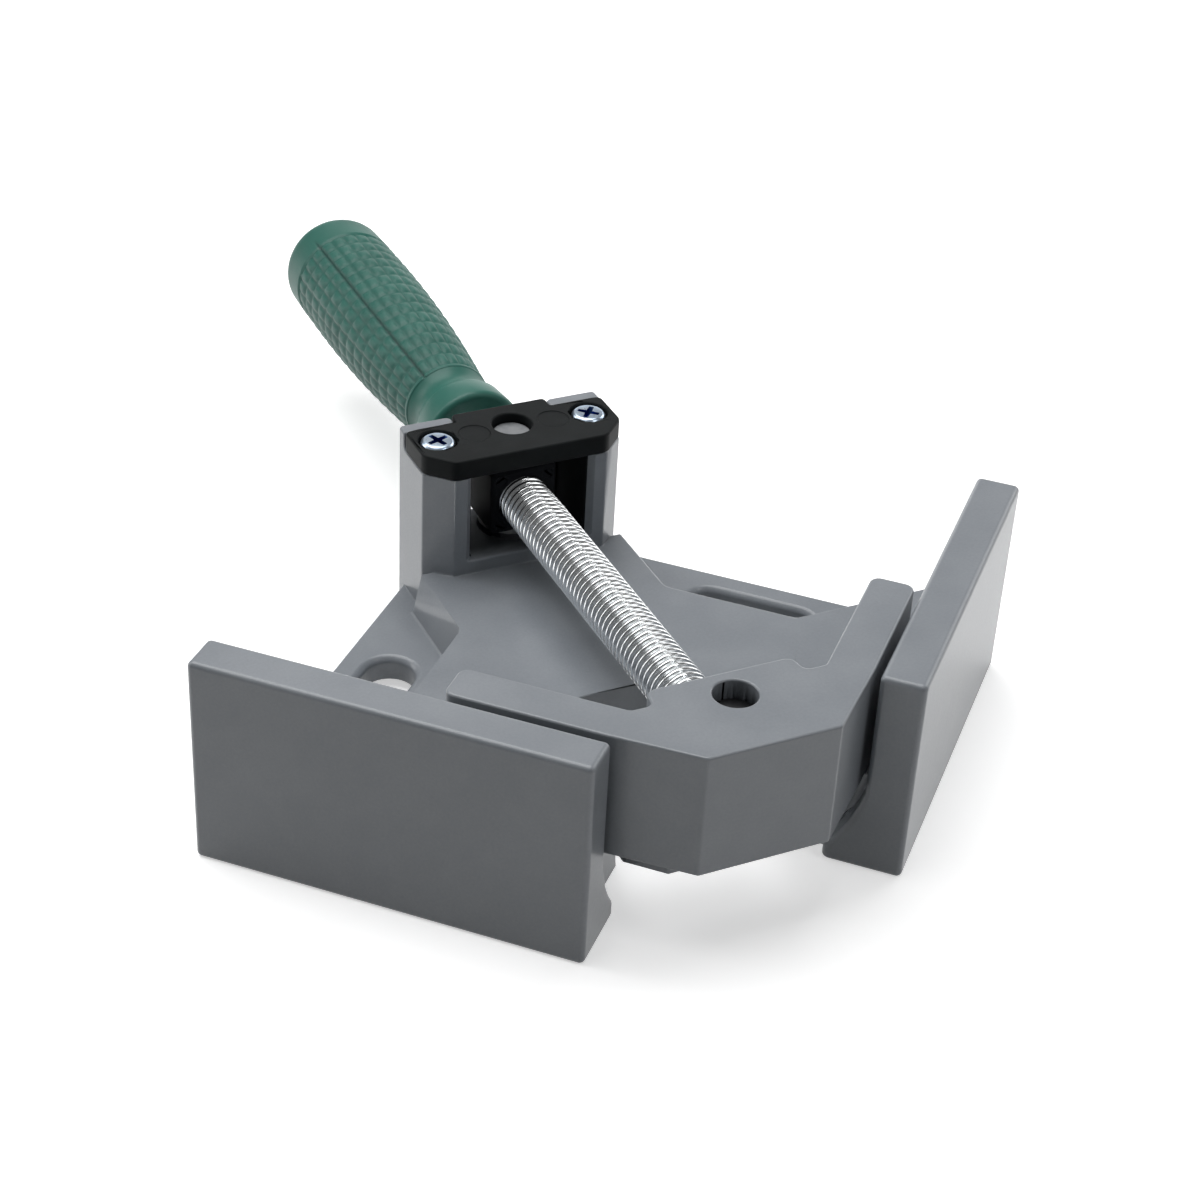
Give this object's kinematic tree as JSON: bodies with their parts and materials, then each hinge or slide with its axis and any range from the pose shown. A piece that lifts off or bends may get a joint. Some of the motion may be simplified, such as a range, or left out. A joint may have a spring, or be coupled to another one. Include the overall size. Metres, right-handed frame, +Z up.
{
  "type": "corner clamp",
  "caption": "Corner clamp for right-angled frames: a cast frame with fixed jaws, a moving jaw on a swivelling threaded spindle, and a textured handle.",
  "frame": {"origin": "foot of the nut's upright swivel axis, on the plane that the casting rests on", "axes": "+Y along the spindle from the jaws to the handle, +Z up, +X to the right seen from the jaws' side facing the handle"},
  "size_m": [0.1576, 0.2066, 0.0404],
  "materials": {
    "casting_paint": "mid-grey semi-gloss paint on a die casting",
    "jaw_paint": "mid-grey semi-gloss paint on a die casting",
    "cap_black": "satin black coated steel plate",
    "nut_black": "satin black coated steel, bare on the trunnions",
    "screw_zinc": "bluish zinc plate",
    "spindle_zinc": "bright zinc plate",
    "washer_steel": "zinc-plated steel",
    "pivot_steel": "dark oiled steel",
    "core_green": "smooth blue-green plastic",
    "grip_green": "blue-green plastic with a raised non-slip texture"
  },
  "bodies": {
    "frame": {"frame_casting": "casting_paint", "tower_cap": "cap_black", "cap_screws": "screw_zinc", "nut_washer": "washer_steel"},
    "nut": {"swivel_nut": "nut_black"},
    "carrier": {"pivot_barrel": "pivot_steel", "thrust_washer": "washer_steel", "pivot_screw": "pivot_steel"},
    "spindle": {"spindle": "spindle_zinc", "retaining_ring": "pivot_steel", "handle_core": "core_green", "handle_grip": "grip_green"},
    "jaw": {"moving_jaw": "jaw_paint"}
  },
  "joints": [
    {"name": "nut_swivel", "type": "hinge", "parent": "frame", "child": "nut", "pos_m": [0, 0, 0.0275], "axis": [0, 0, 1], "range_deg": [-1, 1]},
    {"name": "jaw_feed", "type": "slide", "parent": "nut", "child": "carrier", "axis": [0, 1, 0], "range_m": [0, 0.072]},
    {"name": "handle_turn", "type": "hinge", "parent": "carrier", "child": "spindle", "pos_m": [0, -0.0915, 0.0275], "axis": [0, 1, 0], "range_deg": [0, 17281]},
    {"name": "jaw_pivot", "type": "hinge", "parent": "carrier", "child": "jaw", "pos_m": [0, -0.0915, 0.0275], "axis": [0, 0, 1], "range_deg": [-1.01, 1.01]}
  ],
  "couplings": [
    {"joint": "handle_turn", "follows": "jaw_feed", "rad_per_m": 4188.8},
    {"joint": "jaw_pivot", "follows": "nut_swivel", "ratio": -1}
  ]
}
